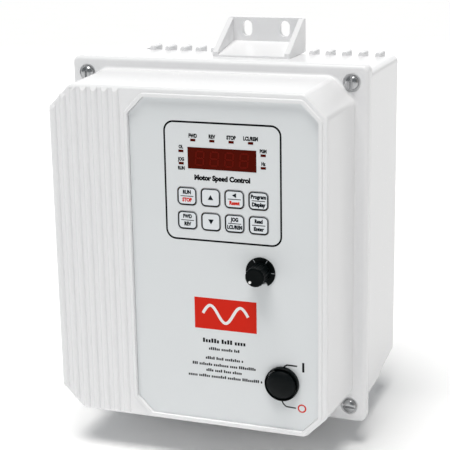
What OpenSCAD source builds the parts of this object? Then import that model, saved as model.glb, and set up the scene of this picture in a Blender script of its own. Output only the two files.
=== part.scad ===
// Variable frequency drive in a wall-mounted, sealed, hinged enclosure.
// X to the right, Z up, the front faces -Y. The wall plane is Y = 0 and the
// origin lies on it, at the middle of the enclosure.

/* [Enclosure] */
// Width of the cover flange
flange_w = 184.2; // [170:0.2:200]
// Height of the cover flange
flange_h = 215; // [205:1:225]
// Corner radius of both flanges
flange_corner_r = 4; // [2:0.5:8]
// Distance from the wall to the front of the cover flange
flange_front = 97.5; // [85:0.5:110]
// Thickness of the cover's flange
lip_t = 5; // [4:0.5:7]
// Thickness of the base's flange
base_flange_t = 4; // [3:0.5:6]
// Wall thickness of both castings
wall_t = 3.5; // [3:0.5:5]

/* [Cover] */
// How far the raised part of the cover stands in front of its flange
cover_rise = 50; // [40:1:60]
// Width of the raised part at its front
cover_w = 165.6; // [150:0.2:170]
// Height of the raised part at its front
cover_h = 197.4; // [190:0.2:200]
// Corner chamfer of the raised part at its front
cover_chamfer = 13; // [10:1:16]
// Draft of each side over the whole rise
cover_draft = 1.8; // [1:0.1:2.5]
// Pitch of the cast ribs on the left of the cover
rib_pitch = 6.65; // [6:0.05:8]
// Number of cast ribs
rib_count = 7; // [4:1:8]
// Height of the cast ribs
rib_rise = 1.5; // [0.6:0.1:2]

/* [Label] */
// Width of the label recess
label_w = 111.6; // [100:0.2:114]
// Height of the label recess
label_h = 189; // [170:0.2:190]
// Corner chamfer of the label recess
label_chamfer = 9.7; // [6:0.1:12]
// Depth of the label face below the front of the cover
label_depth = 1.5; // [1:0.1:2]
// Thickness of the label film
label_t = 0.4; // [0.3:0.1:0.6]

/* [Keypad] */
// Width of one key
key_w = 11.4; // [9:0.2:12]
// Height of one key
key_h = 10.3; // [9:0.1:11]
// Pitch of the key columns
key_pitch_x = 14.13; // [12.8:0.01:15]
// Pitch of the key rows
key_pitch_z = 13.95; // [12:0.05:15]
// Width of the display window
display_w = 40.4; // [36:0.2:44]
// Height of the display window
display_h = 12.2; // [10:0.2:14]

/* [Controls] */
// Diameter of the speed knob
knob_d = 12; // [11:0.5:15]
// Height of the speed knob above its dial
knob_h = 10; // [7:0.5:12]
// Radius of the dial plate
dial_r = 8.7; // [8.5:0.1:12]
// Radius of the power switch's bezel
bezel_r = 10; // [9.8:0.1:11]
// Height of the power switch's bezel above the label
bezel_h = 3.1; // [2:0.1:4]
// Tilt of the switch cap to each side of the middle
switch_tilt = 7; // [4:1:8]

/* [Base] */
// Width of the base behind its flange
base_w = 171.6; // [168:0.2:174]
// Top of the base
base_top = 100.5; // [98:0.5:101]
// Bottom of the base behind its flange
base_bottom = 104.5; // [103:0.5:105]
// Depth of the fins of the heat sink
fin_depth = 12; // [10:1:20]
// Thickness of one fin
fin_t = 3.4; // [3:0.1:4]
// Pitch of the fins
fin_pitch = 10.7; // [10:0.1:12]
// Radius of a conduit entry
conduit_r = 11.15; // [10:0.05:12]

/* [Mounting brackets] */
// Height of the outer edge of each bracket from the middle
bracket_reach = 122.4; // [118:0.2:126]
// Width of a bracket
bracket_w = 51; // [46:0.2:60]
// Thickness of a bracket's flange
bracket_t = 4; // [3:0.5:8]
// Spacing of the two slots in a bracket
slot_spacing = 25.4; // [22:0.1:30]
// Width of a slot
slot_w = 6.8; // [5.5:0.1:7.5]
// Length of a slot from end to end
slot_l = 10.3; // [9:0.1:11]
// Height of a slot's centre from the middle
slot_z = 115.4; // [114:0.2:116]

/* [Hidden] */
$fn = 48;
flange_y = -flange_front;
seam_y = flange_y + lip_t;
cover_front_y = flange_y - cover_rise;
label_y = cover_front_y + label_depth;
recess_y = label_y + label_t;
panel_back_y = recess_y + wall_t;
base_back_y = seam_y + base_flange_t;
floor_back_y = -fin_depth - 2;
floor_y = floor_back_y - wall_t;
label_x = 21.95;
label_z = -1.05;
panel_x = 21.7;
display_z = 60;
key_z = 30.95;
knob_x = 43.7;
knob_z = -3;
switch_x = 56.1;
switch_z = -67.7;
lamp_w = 3;
lamp_h = 1.4;
// The eight indicator lamps: four above the display and two on each side of it
LAMPS = concat([for (i = [0 : 3]) [panel_x - 16.9 + i * 11.3, display_z + 10.1]],
               [for (side = [-1, 1], row = [0, 1])
                   [panel_x + side * 24.2, display_z + 3.6 - row * 7]]);
screw_x = 82.3;
screw_z = 97.6;
CORNERS = [for (sx = [-1, 1], sz = [-1, 1]) [sx, sz]];
hinge_x = -96.2;
hinge_r = 3.6;
pin_r = 1.5;
screw_hole_r = 3.4;
gasket_t = 2;
hinge_z = 56;
knuckle_half = 6;
hinge_half = 16;
running_gap = 0.05;
first_fin_x = 11.9;
board_y = floor_y - 16;
board_t = 1.6;
board_front_y = board_y - board_t;
board_w = 150;
board_h = 160;
board_z = 12;
post_r = 3.5;
BOARD_POSTS = [for (sx = [-1, 1], row = [-1, 0, 1]) [sx * 68, board_z + row * 72]];
plug_x = -38;
conduit_y = -62;
cap_r = 15;
cap_h = 44;
CAPACITORS = [for (i = [0 : 2]) [-50 + i * 34, 62]];
cboard_x = 20;
cboard_z = 49;
cboard_w = 84;
cboard_h = 74;
cboard_front_y = panel_back_y + 10;
CBOARD_POSTS = [for (sx = [-1, 1], sz = [-1, 1]) [cboard_x + sx * 38, cboard_z + sz * 33]];
shield_y = cboard_front_y + board_t + 10;
key_t = 0.7;
key_pocket_y = recess_y + 1.6;
keypad_w = 66;
keypad_h = 29;
shaft_r = 3;
knob_y = label_y - 1;
switch_pivot_y = label_y;
cap_rim_r = 8.7;
bracket_foot_y = -34;
under_y = -28;
under_rise = 3.8;
under_slope = 0.114;
ground_x = 20;
ground_z = -86;
ground_screw_r = 2;
ground_screw_l = 2.5;
trunnion_r = 1.2;
trunnion_x = 5.2;
boot_top = 4.2;

KEY_NAMES = ["key_run", "key_up", "key_reset", "key_program",
             "key_forward", "key_down", "key_jog", "key_enter"];

function octagon(w, h, c) = let (x = w / 2, z = h / 2)
    [[x, z - c], [x - c, z], [c - x, z], [-x, z - c],
     [-x, c - z], [c - x, -z], [x - c, -z], [x, c - z]];

// Extrudes an outline drawn in X and Z between two depths.
module slab(y0, y1) translate([0, y1, 0]) rotate([90, 0, 0]) linear_extrude(y1 - y0) children();

module round_rect(w, h, r) {
    square([w - 2 * r, h], center = true);
    square([w, h - 2 * r], center = true);
    for (c = CORNERS) translate([c[0] * (w / 2 - r), c[1] * (h / 2 - r)]) circle(r);
}

module rod(x, z, y0, y1, r) translate([x, y1, z]) rotate([90, 0, 0]) cylinder(h = y1 - y0, r = r);

module block(x, z, w, h, y0, y1) translate([x - w / 2, y0, z - h / 2]) cube([w, y1 - y0, h]);

// Draughted eight-sided body of the cover, inset by the given amount on all sides.
module cover_body(y0, y1, inset) {
    back_w = cover_w + 2 * cover_draft - 2 * inset;
    back_h = cover_h + 2 * cover_draft - 2 * inset;
    front_w = cover_w - 2 * inset;
    front_h = cover_h - 2 * inset;
    chamfer = cover_chamfer - 0.58 * inset;
    translate([0, y1, 0]) rotate([90, 0, 0])
        linear_extrude(y1 - y0, scale = [front_w / back_w, front_h / back_h], slices = 1)
            polygon(octagon(back_w, back_h, chamfer));
}

module cover_ribs() {
    rib_r = 2.2;
    first_rib_x = -80.7;
    intersection() {
        slab(cover_front_y - rib_rise - 1, recess_y)
            polygon(octagon(cover_w - 0.4, cover_h - 1.6, cover_chamfer));
        for (i = [0 : rib_count - 1])
            translate([first_rib_x + i * rib_pitch, cover_front_y - rib_rise + rib_r, -cover_h / 2])
                cylinder(h = cover_h, r = rib_r);
    }
}

module key_outlines(grow, r)
    for (col = [0 : 3], row = [0, 1])
        translate([panel_x + (col - 1.5) * key_pitch_x, key_z + (0.5 - row) * key_pitch_z])
            round_rect(key_w + 2 * grow, key_h + 2 * grow, r + grow);

module hinge_web(z0, z1, y0, y1) translate([hinge_x, y0, z0]) cube([hinge_r + 3, y1 - y0, z1 - z0]);

module cover_shell() color([0.93, 0.93, 0.92]) {
    bead_w = 2.2;
    bead_rise = 0.8;
    difference() {
        union() {
            slab(flange_y, seam_y) round_rect(flange_w, flange_h, flange_corner_r);
            cover_body(cover_front_y, flange_y, 0);
            for (s = [-1, 1]) {
                translate([hinge_x, seam_y, s * hinge_z - knuckle_half])
                    cylinder(h = 2 * knuckle_half, r = hinge_r);
                hinge_web(s * hinge_z - knuckle_half, s * hinge_z + knuckle_half,
                          seam_y - hinge_r, seam_y);
            }
        }
        cover_body(panel_back_y, seam_y + 1, wall_t);
        slab(cover_front_y - 1, recess_y)
            translate([label_x, label_z]) polygon(octagon(label_w, label_h, label_chamfer));
        // Keypad pocket, display opening and lamp openings
        block(panel_x, key_z, keypad_w + 0.6, keypad_h + 0.6, recess_y - 1, key_pocket_y);
        block(panel_x, display_z, display_w, display_h, recess_y - 1, panel_back_y + 1);
        for (p = LAMPS) block(p[0], p[1], lamp_w, lamp_h, recess_y - 1, panel_back_y + 1);
        // Speed shaft, with a pocket for its nut, and switch opening
        rod(knob_x, knob_z, recess_y - 1, recess_y + 1.8, 7);
        rod(knob_x, knob_z, recess_y, panel_back_y + 1, 4.8);
        rod(switch_x, switch_z, recess_y - 1, panel_back_y + 1, 8.6);
        for (c = CORNERS) {
            rod(c[0] * screw_x, c[1] * screw_z, flange_y - 1, flange_y + 1, 5.2);
            rod(c[0] * screw_x, c[1] * screw_z, flange_y, seam_y + 1, 2.8);
        }
        for (s = [-1, 1]) translate([hinge_x, seam_y, s * hinge_z - hinge_half])
            cylinder(h = 2 * hinge_half, r = pin_r + running_gap);
    }
    cover_ribs();
    // Bead round the label
    difference() {
        slab(cover_front_y - bead_rise, recess_y) translate([label_x, label_z])
            polygon(octagon(label_w + 2 * bead_w, label_h + 2 * bead_w, label_chamfer + 1.3));
        slab(cover_front_y - 1, recess_y + 1) translate([label_x, label_z])
            polygon(octagon(label_w, label_h, label_chamfer));
    }
    for (p = CBOARD_POSTS) difference() {
        rod(p[0], p[1], panel_back_y - 0.5, cboard_front_y, post_r);
        rod(p[0], p[1], panel_back_y + 2, cboard_front_y + 1, 1.3);
    }
}

// Side outline of the base, drawn in Y and Z, as far back as the given depth.
module base_profile(inset, back_y)
    polygon([[seam_y, base_top - inset], [back_y, base_top - inset],
             [back_y, inset - base_bottom + under_rise + under_slope * (back_y - under_y)],
             [under_y, inset - base_bottom + under_rise],
             [under_y - 8, inset - base_bottom], [seam_y, inset - base_bottom]]);

module base_side(w, inset, back_y) rotate([90, 0, 90]) translate([0, 0, -w / 2])
    linear_extrude(w) base_profile(inset, back_y);

// Line of the cover gasket, which passes inside the cover screws.
function gasket_outline(inset) = let (x = base_w / 2 - 0.75 - inset, top = base_top - 0.75 - inset,
        bottom = base_bottom - 0.75 - inset, c = 11 - 0.59 * inset, d = 15 - 0.59 * inset)
    [[x, top - c], [x - c, top], [c - x, top], [-x, top - c],
     [-x, d - bottom], [d - x, -bottom], [x - d, -bottom], [x, d - bottom]];

module base_housing() color([0.90, 0.89, 0.87]) {
    difference() {
        union() {
            slab(seam_y, base_back_y) round_rect(flange_w, flange_h, flange_corner_r);
            base_side(base_w, 0, floor_back_y);
            // Side walls run on to the wall and cover the ends of the heat sink
            for (s = [-1, 1]) translate([s * (base_w - wall_t) / 2, 0, 0]) base_side(wall_t, 0, 0);
            for (s = [-1, 1], end = [-1, 1]) {
                z0 = s * hinge_z + (end < 0 ? -hinge_half : knuckle_half + 0.4);
                h = hinge_half - knuckle_half - 0.4;
                translate([hinge_x, seam_y, z0]) cylinder(h = h, r = hinge_r);
                hinge_web(z0, z0 + h, seam_y, seam_y + hinge_r);
            }
        }
        difference() {
            intersection() {
                base_side(base_w - 2 * wall_t, wall_t, floor_back_y);
                translate([-base_w, seam_y - 1, -flange_h])
                    cube([2 * base_w, floor_y - seam_y + 1, 2 * flange_h]);
            }
            // Corner bosses for the cover screws
            for (c = CORNERS) rod(c[0] * screw_x, c[1] * screw_z, seam_y, seam_y + 24, 11);
        }
        for (c = CORNERS) rod(c[0] * screw_x, c[1] * screw_z, seam_y - 1, base_back_y, screw_hole_r);
        for (s = [-1, 1]) translate([hinge_x, seam_y, s * hinge_z - hinge_half - 1])
            cylinder(h = 2 * hinge_half + 2, r = pin_r);
        for (s = [-1, 1]) translate([s * plug_x, conduit_y, -base_bottom - 1])
            cylinder(h = wall_t + 2, r = conduit_r);
        for (s = [-1, 1]) rod(s * ground_x, ground_z, floor_y - 1, floor_y + ground_screw_l, ground_screw_r);
        gasket_ring(1);
    }
    for (p = BOARD_POSTS) difference() {
        rod(p[0], p[1], board_y, floor_y + 0.5, post_r);
        rod(p[0], p[1], board_y - 1, floor_y - 2, 1.3);
    }
}

module gasket_ring(over) difference() {
    slab(seam_y - over, seam_y + gasket_t) polygon(gasket_outline(0));
    slab(seam_y - over - 1, seam_y + gasket_t + 1) polygon(gasket_outline(gasket_t));
}

module cover_gasket() color([0.12, 0.12, 0.12]) gasket_ring(0);

module hinge_pins() color([0.75, 0.75, 0.76])
    for (s = [-1, 1]) translate([hinge_x, seam_y, s * hinge_z - hinge_half])
        cylinder(h = 2 * hinge_half, r = pin_r);

module fin(x, top, bottom) {
    translate([x - fin_t / 2, floor_back_y + 1, -bottom])
        cube([fin_t, -floor_back_y - 1, top + bottom - fin_t / 2]);
    translate([x, floor_back_y + 1, top - fin_t / 2]) rotate([-90, 0, 0])
        cylinder(h = -floor_back_y - 1, r = fin_t / 2);
}

module heat_sink() color([0.93, 0.93, 0.92]) {
    fin_top = base_top + 2.8;
    fin_bottom = base_bottom - 6;
    short = base_top - 8;
    plate_w = base_w - 2 * wall_t;
    block(0, (base_top - fin_bottom) / 2, plate_w, base_top + fin_bottom, floor_back_y, floor_back_y + 4);
    fin(0, short, short);
    // The two fins next to the middle stop short of the brackets
    for (s = [-1, 1], i = [0 : 6])
        fin(s * (first_fin_x + i * fin_pitch), i < 2 ? short : fin_top, i < 2 ? short : fin_bottom);
}

// A cast bracket: slotted flange on the wall, sloping foot and two side gussets.
module bracket(foot_z) {
    gusset_t = 3.4;
    difference() {
        union() {
            slab(-bracket_t, 0) translate([0, (bracket_reach + base_top) / 2 - 3])
                round_rect(bracket_w, bracket_reach - base_top + 6, 1.5);
            translate([-bracket_w / 2, 0, 0]) rotate([90, 0, 90]) linear_extrude(bracket_w)
                polygon([[0, foot_z], [0, 107.5], [-bracket_t - 2, 107], [bracket_foot_y, base_top + 1.2],
                         [bracket_foot_y, foot_z]]);
            for (s = [-1, 1]) translate([s * (bracket_w / 2 - gusset_t / 2) - gusset_t / 2, 0, 0])
                rotate([90, 0, 90]) linear_extrude(gusset_t)
                    polygon([[0, foot_z], [0, bracket_reach - 0.5], [-bracket_t, bracket_reach - 0.5],
                             [bracket_foot_y, base_top + 3], [bracket_foot_y, foot_z]]);
        }
        for (s = [-1, 1]) translate([s * slot_spacing / 2, 0, slot_z]) {
            slab(-bracket_t - 4, 1) square([slot_w, slot_l - slot_w], center = true);
            for (end = [-1, 1]) rod(0, end * (slot_l - slot_w) / 2, -bracket_t - 4, 1, slot_w / 2);
        }
    }
}

module top_bracket() color([0.93, 0.93, 0.92]) bracket(base_top);

// Its foot follows the slope of the base's underside.
module bottom_bracket() color([0.93, 0.93, 0.92]) difference() {
    mirror([0, 0, 1]) bracket(base_bottom - 10);
    base_side(bracket_w + 2, 0, 1);
}

module power_board() color([0.10, 0.35, 0.20]) difference() {
    block(0, board_z, board_w, board_h, board_front_y, board_y);
    for (p = BOARD_POSTS) rod(p[0], p[1], board_front_y - 1, board_y + 1, 1.6);
}

// A pan-head screw lying along Y with its head at the front.
module board_screw(x, z, head_y, length) {
    rod(x, z, head_y - 2, head_y, 2.8);
    rod(x, z, head_y - 0.5, head_y + length, 1.2);
}

module power_board_screws() color([0.75, 0.75, 0.76])
    for (p = BOARD_POSTS) board_screw(p[0], p[1], board_front_y, 8);

module power_module() color([0.13, 0.13, 0.14]) difference() {
    block(15, 10, 80, 46, floor_y - 14, floor_y);
    for (s = [-1, 1]) rod(15 + s * 35, 10, floor_y - 15, floor_y + 1, 2.2);
}

module bus_capacitors() color([0.10, 0.13, 0.30])
    for (p = CAPACITORS) difference() {
        rod(p[0], p[1], board_front_y - cap_h, board_front_y, cap_r);
        difference() {
            rod(p[0], p[1], board_front_y - cap_h - 1, board_front_y - cap_h + 0.6, cap_r - 1.2);
            for (turn = [0, 60, 120]) translate([p[0], board_front_y - cap_h, p[1]]) rotate([0, turn, 0])
                cube([2 * cap_r, 3, 0.8], center = true);
        }
    }

choke_x = 48;
choke_z = -8;
choke_y = board_front_y - 19;

module line_choke_core() color([0.35, 0.36, 0.35]) translate([choke_x, choke_y, choke_z])
    rotate([0, 90, 0]) rotate_extrude() translate([13, 0]) square([8, 14], center = true);

module line_choke_winding() color([0.72, 0.36, 0.15]) translate([choke_x, choke_y, choke_z])
    for (turn = [0 : 15]) if (turn != 7 && turn != 8) rotate([turn * 22.5 - 90, 0, 0]) translate([0, 13, 0])
        difference() {
            cube([18, 12, 2.2], center = true);
            // Clears the curve of the core
            cube([14, 8.2, 4], center = true);
        }

module supply_transformer() color([0.16, 0.16, 0.17]) {
    block(-46, 14, 36, 12, board_front_y - 30, board_front_y);
    block(-46, 14, 26, 30, board_front_y - 26, board_front_y - 3);
}

module precharge_relay() color([0.90, 0.88, 0.80])
    block(-2, 18, 28, 18, board_front_y - 22, board_front_y);

module terminal_strip(x, z, ways, pitch, h, depth) difference() {
    block(x, z, ways * pitch, h, board_front_y - depth, board_front_y);
    for (i = [0 : ways - 1]) {
        way_x = x + (i - (ways - 1) / 2) * pitch;
        rod(way_x, z + h / 6, board_front_y - depth - 1, board_front_y - depth / 2, pitch * 0.32);
        block(way_x, z - h / 2, pitch * 0.7, h * 0.8, board_front_y - depth * 0.55, board_front_y - 2);
    }
}

module power_terminals() color([0.12, 0.12, 0.12]) terminal_strip(-14, -50, 8, 9.5, 18, 18);

module power_terminal_screws() color([0.78, 0.78, 0.79])
    for (i = [0 : 7]) difference() {
        rod(-14 + (i - 3.5) * 9.5, -47, board_front_y - 12, board_front_y - 9, 2.6);
        block(-14 + (i - 3.5) * 9.5, -47, 6, 0.9, board_front_y - 13, board_front_y - 11);
    }

module control_terminals() color([0.10, 0.42, 0.22]) terminal_strip(50, -52, 9, 5, 10, 12);

module ground_screws() color([0.20, 0.50, 0.25])
    for (s = [-1, 1]) difference() {
        union() {
            rod(s * ground_x, ground_z, floor_y - 3, floor_y, 4.2);
            rod(s * ground_x, ground_z, floor_y - 1, floor_y + ground_screw_l, ground_screw_r);
        }
        block(s * ground_x, ground_z, 9, 1.1, floor_y - 4, floor_y - 2);
    }

module upright(x, y, z0, z1, r) translate([x, y, z0]) cylinder(h = z1 - z0, r = r);

module conduit_plug() color([0.16, 0.16, 0.16]) difference() {
    union() {
        upright(plug_x, conduit_y, -base_bottom - 5, -base_bottom - 1.5, 14.5);
        upright(plug_x, conduit_y, -base_bottom - 2, -base_bottom + 9, conduit_r - 0.35);
    }
    upright(plug_x, conduit_y, -base_bottom - 1, -base_bottom + 10, 8.4);
    for (turn = [0, 90]) translate([plug_x, conduit_y, -base_bottom - 5]) rotate([0, 0, turn])
        cube([18, 2.4, 3], center = true);
}

module conduit_plug_seal() color([0.05, 0.05, 0.05]) difference() {
    upright(plug_x, conduit_y, -base_bottom - 1.5, -base_bottom, 14);
    upright(plug_x, conduit_y, -base_bottom - 2, -base_bottom + 1, conduit_r);
}

module conduit_locknut() color([0.16, 0.16, 0.16]) difference() {
    translate([plug_x, conduit_y, -base_bottom + wall_t]) cylinder(h = 4, r = 15.6, $fn = 6);
    upright(plug_x, conduit_y, -base_bottom, -base_bottom + 10, conduit_r - 0.35);
}

module board_socket() color([0.12, 0.12, 0.12]) difference() {
    block(46, 40, 32, 9, board_front_y - 9, board_front_y);
    block(46, 40, 29, 6, board_front_y - 10, board_front_y - 2);
}

module label_film() color([0.84, 0.85, 0.86]) difference() {
    slab(label_y, recess_y) translate([label_x, label_z])
        polygon(octagon(label_w - 0.4, label_h - 0.4, label_chamfer));
    slab(label_y - 1, recess_y + 1) {
        key_outlines(0.3, 2.6);
        translate([panel_x, display_z]) square([display_w, display_h], center = true);
        for (p = LAMPS) translate(p) square([lamp_w, lamp_h], center = true);
        translate([knob_x, knob_z]) circle(7);
        translate([switch_x, switch_z]) circle(8.8);
    }
}

module display_window() color([0.35, 0.04, 0.02])
    block(panel_x, display_z, display_w, display_h, label_y - 0.1, panel_back_y - 0.5);

module display_module() color([0.08, 0.08, 0.09]) difference() {
    block(panel_x, display_z, display_w, display_h + 3, panel_back_y + 0.1, cboard_front_y);
    // Seven slots for each digit
    for (d = [0 : 3], i = [0 : 2]) translate([panel_x + (d - 1.5) * 9.8, panel_back_y, display_z + (i - 1) * 4.2])
        cube([3.6, 1, 0.9], center = true);
    for (d = [0 : 3], sx = [-1, 1], sz = [-1, 1])
        translate([panel_x + (d - 1.5) * 9.8 + sx * 2.4, panel_back_y, display_z + sz * 2.1])
            cube([0.9, 1, 3.2], center = true);
}

module indicator_lenses() color([0.40, 0.04, 0.02])
    for (p = LAMPS) block(p[0], p[1], lamp_w, lamp_h, label_y - 0.1, panel_back_y - 0.5);

module indicator_leds() color([0.80, 0.20, 0.15])
    for (p = LAMPS) rod(p[0], p[1], panel_back_y + 3, cboard_front_y, 1.5);

module keypad_circuit() color([0.75, 0.70, 0.50])
    block(panel_x, key_z, keypad_w, keypad_h, key_pocket_y - 0.3, key_pocket_y);

module keypad_domes() color([0.80, 0.80, 0.80])
    for (col = [0 : 3], row = [0, 1]) {
        x = panel_x + (col - 1.5) * key_pitch_x;
        z = key_z + (0.5 - row) * key_pitch_z;
        translate([x, key_pocket_y - 0.3, z]) rotate([90, 0, 0])
            rotate_extrude() polygon([[0, 0], [4, 0], [3.2, 0.35], [1.6, 0.6], [0, 0.65]]);
    }

module key(i) color([0.86, 0.87, 0.88]) slab(label_y - 0.15, label_y - 0.15 + key_t)
    translate([panel_x + (i % 4 - 1.5) * key_pitch_x, key_z + (0.5 - floor(i / 4)) * key_pitch_z])
        round_rect(key_w, key_h, 2.6);

module control_board() color([0.10, 0.35, 0.20]) difference() {
    block(cboard_x, cboard_z, cboard_w, cboard_h, cboard_front_y, cboard_front_y + board_t);
    for (p = CBOARD_POSTS) rod(p[0], p[1], cboard_front_y - 1, cboard_front_y + 3, 1.6);
}

module board_spacers() color([0.75, 0.75, 0.76])
    for (p = CBOARD_POSTS) {
        rod(p[0], p[1], cboard_front_y + board_t, shield_y, 2.8);
        rod(p[0], p[1], cboard_front_y - 6, cboard_front_y + board_t + 0.5, 1.2);
    }

module shield_screws() color([0.75, 0.75, 0.76])
    for (p = CBOARD_POSTS) rod(p[0], p[1], shield_y + 1, shield_y + 2.6, 2.8);

module control_chips() color([0.10, 0.10, 0.11]) {
    back = cboard_front_y + board_t;
    block(10, 56, 14, 14, back, back + 1.6);
    block(34, 60, 10, 6, back, back + 1.5);
    block(36, 40, 24, 8, back, back + 6);
    block(2, 32, 8, 5, back, back + 1.5);
}

module board_shield() color([0.80, 0.82, 0.80]) difference() {
    block(cboard_x, cboard_z, cboard_w, cboard_h, shield_y, shield_y + 1);
    block(36, 40, 28, 12, shield_y - 1, shield_y + 2);
}

module speed_dial() color([0.05, 0.05, 0.05]) difference() {
    rod(knob_x, knob_z, label_y - 0.5, label_y, dial_r);
    rod(knob_x, knob_z, label_y - 1, label_y + 1, shaft_r + 0.4);
    // Open sector between the two ends of the scale
    slab(label_y - 1, label_y + 1) translate([knob_x, knob_z])
        polygon([[0, 0], [-dial_r, -dial_r * tan(60)], [dial_r, -dial_r * tan(60)]]);
}

module speed_pot() color([0.20, 0.28, 0.24]) difference() {
    union() {
        rod(knob_x, knob_z, panel_back_y, panel_back_y + 10, 11.5);
        rod(knob_x, knob_z, label_y, panel_back_y + 1, 4.7);
        block(knob_x, knob_z - 12, 12, 10, panel_back_y + 3, panel_back_y + 4.5);
    }
    rod(knob_x, knob_z, label_y - 1, panel_back_y + 8, shaft_r + running_gap);
}

module speed_pot_nut() color([0.75, 0.75, 0.76]) difference() {
    translate([knob_x, recess_y + 1.8, knob_z]) rotate([90, 0, 0]) cylinder(h = 1.8, r = 6.6, $fn = 6);
    rod(knob_x, knob_z, recess_y - 1, recess_y + 3, 4.7);
}

module speed_shaft() color([0.75, 0.75, 0.76])
    rod(knob_x, knob_z, knob_y - knob_h + 1.5, panel_back_y + 7.5, shaft_r);

module speed_knob() color([0.04, 0.04, 0.04]) difference() {
    union() {
        rod(knob_x, knob_z, knob_y - knob_h, knob_y, knob_d / 2 - 0.7);
        rod(knob_x, knob_z, knob_y - knob_h + 0.7, knob_y, knob_d / 2);
    }
    rod(knob_x, knob_z, knob_y - knob_h + 1.5, knob_y + 1, shaft_r);
    for (turn = [0 : 20 : 340]) translate([knob_x, 0, knob_z]) rotate([0, turn, 0])
        rod(knob_d / 2 + 0.15, 0, knob_y - knob_h - 1, knob_y - 1.2, 0.55);
    translate([knob_x, 0, knob_z]) rotate([0, pointer_turn, 0])
        rod(0, pointer_r, knob_y - knob_h - 1, knob_y - knob_h + 0.5, 0.8);
}

// The pointer rests a little above the low end of the scale, to the lower left.
pointer_turn = 222;
pointer_r = 4;

module knob_pointer() color([0.95, 0.95, 0.95]) translate([knob_x, 0, knob_z]) rotate([0, pointer_turn, 0])
    rod(0, pointer_r, knob_y - knob_h - 0.1, knob_y - knob_h + 0.5, 0.8);

module switch_bezel() color([0.05, 0.05, 0.05]) difference() {
    rod(switch_x, switch_z, label_y - bezel_h, label_y, bezel_r);
    rod(switch_x, switch_z, label_y - bezel_h - 1, label_y + 1, cap_rim_r + 0.5);
}

module switch_body() color([0.08, 0.08, 0.08]) {
    cavity = 8;
    ear_w = 1.6;
    ear_h = 4.2;
    difference() {
        union() {
            block(switch_x, switch_z, 20, 28, panel_back_y, panel_back_y + 22);
            for (i = [-1, 0, 1])
                block(switch_x, switch_z + i * 8, 6, 0.8, panel_back_y + 21, panel_back_y + 29);
        }
        rod(switch_x, switch_z, panel_back_y - 1, panel_back_y + cavity, 8.6);
    }
    // Two ears carry the trunnions of the rocker
    difference() {
        for (s = [-1, 1]) block(switch_x + s * (trunnion_x - ear_w / 2), switch_z, ear_w, ear_h,
                                switch_pivot_y - 1.9, panel_back_y + cavity + 0.5);
        translate([switch_x - 10, switch_pivot_y, switch_z]) rotate([0, 90, 0])
            cylinder(h = 20, r = trunnion_r + running_gap);
    }
}

// The cap and its rocker rest with the lower edge pressed in: off.
module tilted() translate([switch_x, switch_pivot_y, switch_z]) rotate([switch_tilt, 0, 0])
    rotate([90, 0, 0]) children();

// A hollow rubber boot over the rocker
module switch_cap() color([0.04, 0.04, 0.04]) tilted() rotate_extrude()
    polygon([[6.4, -1.5], [7.6, -1.5], [7.6, 1.3], [cap_rim_r, 1.3], [cap_rim_r, 3.2], [8.1, 4.1],
             [6.8, 4.8], [4.8, 5.3], [2.4, 5.6], [0, 5.7], [0, boot_top], [4.2, boot_top], [6.4, 2.2]]);

module switch_rocker() color([0.20, 0.20, 0.20]) tilted() {
    translate([-3, -4.5, -9.5]) cube([6, 9, 11.5]);
    translate([-2, -3, 1.5]) cube([4, 6, boot_top - 1.5]);
    translate([-trunnion_x, 0, 0]) rotate([0, 90, 0]) cylinder(h = 2 * trunnion_x, r = trunnion_r);
}

module cover_screw(c) color([0.72, 0.72, 0.73]) {
    head_r = 4.1;
    translate([c[0] * screw_x, flange_y + 1, c[1] * screw_z]) rotate([90, 0, 0]) difference() {
        union() {
            rotate_extrude() polygon([[0, 0], [head_r, 0], [head_r, 1.4], [3.7, 2.3], [2.6, 3.0],
                                      [1.5, 3.35], [0, 3.45]]);
            translate([0, 0, -lip_t]) cylinder(h = lip_t + 0.5, r = 2);
            translate([0, 0, -lip_t - 2]) cylinder(h = 4.5, r = 2.4);
        }
        rotate([0, 0, c[1] > 0 ? 86 : -6]) translate([-6, -0.55, 2]) cube([12, 1.1, 3]);
    }
}

base_housing();
heat_sink();
top_bracket();
bottom_bracket();
cover_gasket();
hinge_pins();
power_board();
power_board_screws();
power_module();
bus_capacitors();
line_choke_core();
line_choke_winding();
supply_transformer();
precharge_relay();
power_terminals();
power_terminal_screws();
control_terminals();
ground_screws();
conduit_plug();
conduit_plug_seal();
conduit_locknut();
board_socket();
cover_shell();
label_film();
display_window();
display_module();
indicator_lenses();
indicator_leds();
keypad_circuit();
keypad_domes();
control_board();
board_spacers();
shield_screws();
control_chips();
board_shield();
speed_dial();
speed_pot();
speed_pot_nut();
switch_bezel();
switch_body();
speed_knob();
knob_pointer();
speed_shaft();
switch_cap();
switch_rocker();
cover_screw([-1, 1]);  // cover_screw_top_left
cover_screw([1, 1]);  // cover_screw_top_right
cover_screw([-1, -1]);  // cover_screw_bottom_left
cover_screw([1, -1]);  // cover_screw_bottom_right
for (i = [0 : 7]) key(i);
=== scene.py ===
import math
import random
import bmesh
import bpy
from mathutils import Matrix, Vector


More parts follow.
